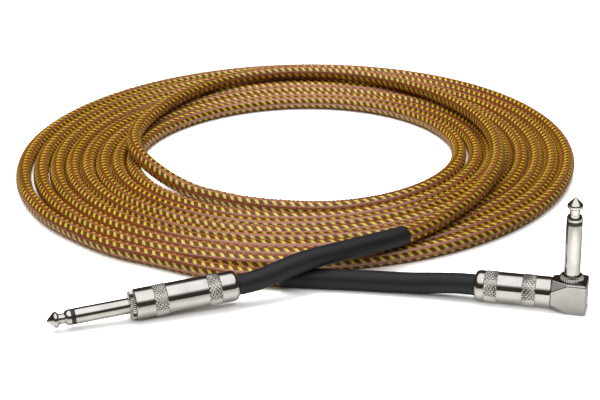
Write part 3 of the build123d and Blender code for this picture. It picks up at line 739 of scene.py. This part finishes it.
def head_mesh():
    """Square head that turns octagonal towards the handle, as one mesh."""
    octagon_edge = BLOCK / 2 * (1 - math.tan(math.pi / 8))
    front = HANDLE_FRONT_U
    sections = [(front, octagon_edge, BLOCK / 2), (front + TAPER_LENGTH, BLOCK_EDGE, BLOCK / 2),
                (front + BLOCK_LENGTH - 0.5, BLOCK_EDGE, BLOCK / 2),
                (front + BLOCK_LENGTH, BLOCK_EDGE - 0.2, BLOCK / 2 - 0.5)]
    points = [[ANGLED @ Vector((u, y, z)) * MM for y, z in block_section(edge, half)] for u, edge, half in sections]
    vertices = [tuple(p) for ring in points for p in ring]
    faces = [[8 * i + k, 8 * i + (k + 1) % 8, 8 * i + 8 + (k + 1) % 8, 8 * i + 8 + k]
             for i in range(len(sections) - 1) for k in range(8)]
    faces += [list(range(8))[::-1], [8 * (len(sections) - 1) + k for k in range(8)]]
    mesh = bpy.data.meshes.new("angled_head")
    mesh.from_pydata(vertices, [], faces)
    layer = mesh.uv_layers.new(name="surface")
    inverse = ANGLED.inverted()
    for loop in mesh.loops:
        local = inverse @ (mesh.vertices[loop.vertex_index].co / MM)
        layer.data[loop.index].uv = (local.x, local.y + local.z)
    return mesh


def finish_head(piece):
    """Round the head's edges a little and keep its faces flat."""
    bevel = piece.modifiers.new("edges", "BEVEL")
    bevel.width = 0.28 * MM
    bevel.segments = 3
    bevel.limit_method = "ANGLE"
    bevel.angle_limit = math.radians(8)
    bevel.harden_normals = True
    piece.data.polygons.foreach_set("use_smooth", [True] * len(piece.data.polygons))


def build_fingers(metal, plastic):
    """Tip, ring and sleeve of both plugs."""
    cavity_top = CAVITY_R - (BLOCK + SEAT_HEIGHT) + AXIS_Z
    lug_u = SPIGOT_REAR_U - WASHER - REAR_INSULATOR
    for side, plug, rod_rear, bush_rear, sleeve_rear in (
        ("straight", STRAIGHT, lug_u - WASHER - RIVET_LENGTH, SPIGOT_REAR_U - WASHER, SPIGOT_REAR_U),
        ("angled", ANGLED_FINGER, cavity_top - ROD_DROP, cavity_top - BUSH_DROP, cavity_top - SLEEVE_DROP),
    ):
        tip = link(f"{side}_tip_turned", turned_mesh(f"{side}_tip_turned", plug, tip_outline(rod_rear), 96,
                                                     closed=False), [metal])
        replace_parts(tip, f"{side}_tip")
        ring = softened([(TIP_REAR_U, ROD_R), (TIP_REAR_U, FINGER_R - 0.02), (RING_REAR_U, FINGER_R - 0.02),
                         (RING_REAR_U, BUSH_R), (bush_rear, BUSH_R), (bush_rear, ROD_R)], 0.08, 2)
        ring_piece = link(f"{side}_ring_moulded", turned_mesh(f"{side}_ring_moulded", plug, ring), [plastic])
        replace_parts(ring_piece, f"{side}_tip_insulator")
        barrel = softened([(sleeve_rear, BUSH_R), (RING_REAR_U, BUSH_R), (RING_REAR_U, FINGER_R),
                           (0.0, FINGER_R), (0.0, SHANK_R), (sleeve_rear, SHANK_R)], 0.12, 3)
        sleeve = link(f"{side}_sleeve_turned", turned_mesh(f"{side}_sleeve_turned", plug, barrel), [metal])
        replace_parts(sleeve, f"{side}_sleeve")


def build_plugs(metal, painted_groove_shade, crest, satin_painted_shade):
    """Collars, handles and the right-angle head."""
    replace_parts(link("straight_collar_turned", straight_collar_mesh(), [metal]), "straight_collar")
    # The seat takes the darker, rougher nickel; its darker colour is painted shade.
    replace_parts(link("angled_seat_turned", seat_mesh(), [satin_painted_shade]), "angled_collar")
    for side, plug, length, bands in (("straight", STRAIGHT, STRAIGHT_HANDLE, STRAIGHT_BANDS),
                                      ("angled", ANGLED, ANGLED_HANDLE, ANGLED_BANDS)):
        mesh = handle_mesh(f"{side}_handle_knurled", plug, length, bands)
        # Handles: plain nickel, a darker copy in the knurl's grooves as painted shade, a lighter copy on the rest of
        # the bands as painted light.
        handle = link(f"{side}_handle_knurled", mesh, [metal, painted_groove_shade, crest], body=f"{side}_handle")
        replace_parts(handle, f"{side}_handle")
    # The head takes the same darker, rougher nickel; its darker colour is painted shade.
    head = link("angled_head", head_mesh(), [satin_painted_shade])
    finish_head(head)
    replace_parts(head, "angled_housing")
    bore_r, sunk_u = 3.9, HANDLE_FRONT_U + 1.0
    outline = spigot_outline() + [(SPIGOT_REAR_U, bore_r), (sunk_u, bore_r), (sunk_u, THREAD_R)]
    link("angled_spigot", turned_mesh("angled_spigot", ANGLED, outline, 96, relief=thread), [metal])


def build_lead(line, boot):
    """The braided lead with its two boots."""
    yarns = [yarn_material("yarn_yellow", dark=(0.44, 0.32, 0.004), light=(0.76, 0.61, 0.012),
                           shine=(1.0, 0.95, 0.66)),
             # One brown yarn as two copies: lighter on the plain columns, darker between the yellow stitches; the
             # difference is painted light and shade.
             yarn_material("yarn_brown", dark=(0.16, 0.030, 0.006), light=(0.48, 0.125, 0.040),
                           shine=(1.0, 0.64, 0.52), index=2.35),
             yarn_material("yarn_brown_painted_shade", dark=(0.075, 0.014, 0.003), light=(0.22, 0.048, 0.010),
                           shine=(1.0, 0.60, 0.50), index=1.5)]
    lead = link("lead", braid_mesh(line), yarns)
    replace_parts(lead, "cable_coil", "straight_lead", "angled_lead", "straight_cable_end", "angled_cable_end")
    for side, plug, rear_u, end_point in (("straight", STRAIGHT, STRAIGHT_REAR_U, STRAIGHT_BOOT_TAIL),
                                          ("angled", ANGLED, ANGLED_REAR_U, ANGLED_BOOT_TAIL)):
        inside = line.nearest(along(plug, rear_u + BOOT_OVERLAP) * MM) / MM
        tail = line.nearest(Vector(end_point) * MM) / MM
        mesh = boot_mesh(f"{side}_boot_sleeve", line, min(inside, tail), max(inside, tail))
        piece = link(f"{side}_boot_sleeve", mesh, [boot])
        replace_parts(piece, f"{side}_boot")


def finish_inner_pieces():
    """Materials of the CAD nodes that stay: the wiring inside the plugs."""
    tinned = plain_material("tinned_brass", (0.50, 0.46, 0.38), (0.68, 0.65, 0.58), 0.25, metallic=1.0)
    liner = plain_material("liner_film", (0.55, 0.52, 0.42), (0.72, 0.69, 0.6), 0.45)
    core = plain_material("core_insulation", (0.68, 0.66, 0.6), (0.85, 0.83, 0.78), 0.4)
    copper = plain_material("copper_strands", (0.55, 0.24, 0.13), (0.8, 0.42, 0.27), 0.3, metallic=1.0, scale=2500.0)
    solder = plain_material("solder", (0.5, 0.5, 0.5), (0.72, 0.72, 0.72), 0.22, metallic=1.0)
    disc = plain_material("rear_disc", (0.012, 0.012, 0.013), (0.03, 0.03, 0.032), 0.35)
    for side in ("straight", "angled"):
        for part, material in (("tip_terminal", tinned), ("ground_terminal", tinned), ("liner", liner),
                               ("conductor", core), ("shield_pigtail", copper), ("solder", solder),
                               ("rear_insulator", disc)):
            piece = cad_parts[f"{side}_{part}"]
            if not piece.material_slots:
                piece.data.materials.append(material)
                continue
            for held in piece.material_slots:
                held.link = "OBJECT"
                held.material = material


# ---------------------------------------------------------------- floor and light
FLOOR_REACH = 12.0
# A painted pool of glowing light and a painted patch of shade on the floor, seen only in the metal's reflections.
PAINTED_POOL_SPOT, PAINTED_POOL_REACH, PAINTED_POOL_STRENGTH = (0.10, -0.12, 0.0), 0.13, 0.7
PAINTED_DIM_SPOT, PAINTED_DIM_REACH = (0.13, 0.05, 0.0), 0.10
ROOM_DARK, ROOM_SEEN = (0.040, 0.030, 0.023), (0.9, 0.9, 0.9)
ROOM_LEAN, ROOM_STRENGTH = 0.17, 1.15
LAMP_AIM = Vector((0.0, 0.1, 0.0))


def maths(tree, how, first, second):
    """One step of arithmetic on two values."""
    return node(tree, "ShaderNodeMath", {0: first, 1: second}, operation=how).outputs[0]


def spot_distance(tree, where, spot, reach):
    """Distance from a spot on the floor, 1 at its reach."""
    away = node(tree, "ShaderNodeVectorMath", {0: where, 1: spot}, operation="DISTANCE").outputs["Value"]
    return maths(tree, "DIVIDE", away, reach)


def floor_material():
    """White paper, overexposed in the picture by a second diffuse layer that only the camera sees. The polished metal
    mirrors it as a semi-glossy grey card with a painted pool of glowing light in front of the right-angle plug and
    a painted dim patch of shade behind it."""
    paper, tree, shader = new_material("floor_paper", Roughness=0.9, Specular_IOR_Level=0.0)
    where = place(tree, 1.0)
    grain = noise(tree, where, 6.0)
    white = ramp(tree, grain, [(0.3, 0.84), (0.7, 0.86)])
    feed(tree, shader, Base_Color=white)
    lift = node(tree, "ShaderNodeBsdfDiffuse", {"Color": white})
    exposed = node(tree, "ShaderNodeAddShader", {0: shader.outputs[0], 1: lift.outputs[0]})
    # Painted reflections: a glowing pool of light and a dim patch of shade, which only glossy rays see.
    pool = ramp(tree, spot_distance(tree, where, PAINTED_POOL_SPOT, PAINTED_POOL_REACH),
                [(0.0, 1.0), (0.35, 0.8), (0.75, 0.2), (1.0, 0.0)])
    dim = ramp(tree, spot_distance(tree, where, PAINTED_DIM_SPOT, PAINTED_DIM_REACH), [(0.0, 0.25), (0.5, 0.4), (1.0, 1.0)])
    card = ramp(tree, grain, [(0.3, (0.72, 0.71, 0.675)), (0.7, (0.77, 0.76, 0.725))])
    mirrored = node(tree, "ShaderNodeBsdfPrincipled", {
        "Base Color": mixed(tree, 1.0, card, dim, "MULTIPLY"), "Roughness": 0.12, "IOR": 2.2,
        "Emission Color": pool, "Emission Strength": PAINTED_POOL_STRENGTH})
    light = node(tree, "ShaderNodeLightPath")
    seen = node(tree, "ShaderNodeMixShader", {0: light.outputs["Is Camera Ray"], 1: shader.outputs[0],
                                              2: exposed.outputs[0]})
    mix = node(tree, "ShaderNodeMixShader", {0: light.outputs["Is Glossy Ray"], 1: seen.outputs[0],
                                             2: mirrored.outputs[0]})
    tree.links.new(mix.outputs[0], tree.nodes["Material Output"].inputs["Surface"])
    return paper


def build_floor():
    """A plain square floor, staged so that it is not part of the object."""
    mesh = bpy.data.meshes.new("floor")
    mesh.from_pydata([(-FLOOR_REACH, -FLOOR_REACH, 0), (FLOOR_REACH, -FLOOR_REACH, 0),
                      (FLOOR_REACH, FLOOR_REACH, 0), (-FLOOR_REACH, FLOOR_REACH, 0)], [], [[0, 1, 2, 3]])
    floor = bpy.data.objects.new("floor", mesh)
    bpy.context.scene.collection.objects.link(floor)
    mesh.materials.append(floor_material())


def build_studio():
    """A broad overhead softbox in a dark room: bright above, dark towards the horizon, a little brighter in front."""
    world = bpy.data.worlds.new("studio")
    bpy.context.scene.world = world
    world.use_nodes = True
    tree = world.node_tree
    ray = node(tree, "ShaderNodeSeparateXYZ", {"Vector": node(tree, "ShaderNodeTexCoord").outputs["Generated"]})
    height = maths(tree, "SUBTRACT", ray.outputs["Z"], maths(tree, "MULTIPLY", ray.outputs["Y"], ROOM_LEAN))
    sky = ramp(tree, height, [(0.0, ROOM_DARK), (0.55, ROOM_DARK), (0.66, 0.11), (0.74, 0.46), (0.83, 0.98),
                              (1.0, 1.0)])
    seen = node(tree, "ShaderNodeLightPath").outputs["Is Camera Ray"]
    background = tree.nodes["Background"]
    tree.links.new(mixed(tree, seen, sky, ROOM_SEEN), background.inputs["Color"])
    background.inputs["Strength"].default_value = ROOM_STRENGTH


def build_lamps():
    """Soft lamps that light the cloth and the floor but leave no hard patch in the metal."""
    for name, spot, size, power in (("overhead", (-0.15, 0.55, 1.25), 1.1, 19.0),
                                    ("front", (-0.5, -1.1, 0.9), 0.8, 4.0)):
        lamp = bpy.data.lights.new(name, "AREA")
        lamp.size = size
        lamp.energy = power
        holder = bpy.data.objects.new(name, lamp)
        holder.location = spot
        holder.rotation_euler = (LAMP_AIM - Vector(spot)).to_track_quat("-Z", "Y").to_euler()
        holder.visible_glossy = False
        bpy.context.scene.collection.objects.link(holder)


def build_stage():
    """Floor, room and lamps, with the colours shown plainly."""
    build_floor()
    build_studio()
    build_lamps()
    bpy.context.scene.view_settings.view_transform = "Standard"


# ---------------------------------------------------------------- build
aim_camera()
LEAD_LINE = Line(lead_line())
print("lead length", round(LEAD_LINE.length, 3))
NICKEL = nickel_material()
build_lead(LEAD_LINE, boot_material())
build_fingers(NICKEL, plastic_material())
# Darker and lighter copies of the nickel paint shade and light: dark in the knurl's grooves, light on the bands'
# crests, dark but rougher on the head and seat.
build_plugs(NICKEL,
            painted_groove_shade=nickel_material("nickel_groove_painted_shade", lines=0.02, roughness=(0.12, 0.25), shade=0.3),
            crest=nickel_material("nickel_crest_painted_light", lines=0.02, roughness=(0.12, 0.2), shade=1.24),
            satin_painted_shade=nickel_material("nickel_satin_painted_shade", lines=0.03, roughness=(0.06, 0.14), shade=0.7))
finish_inner_pieces()
build_stage()
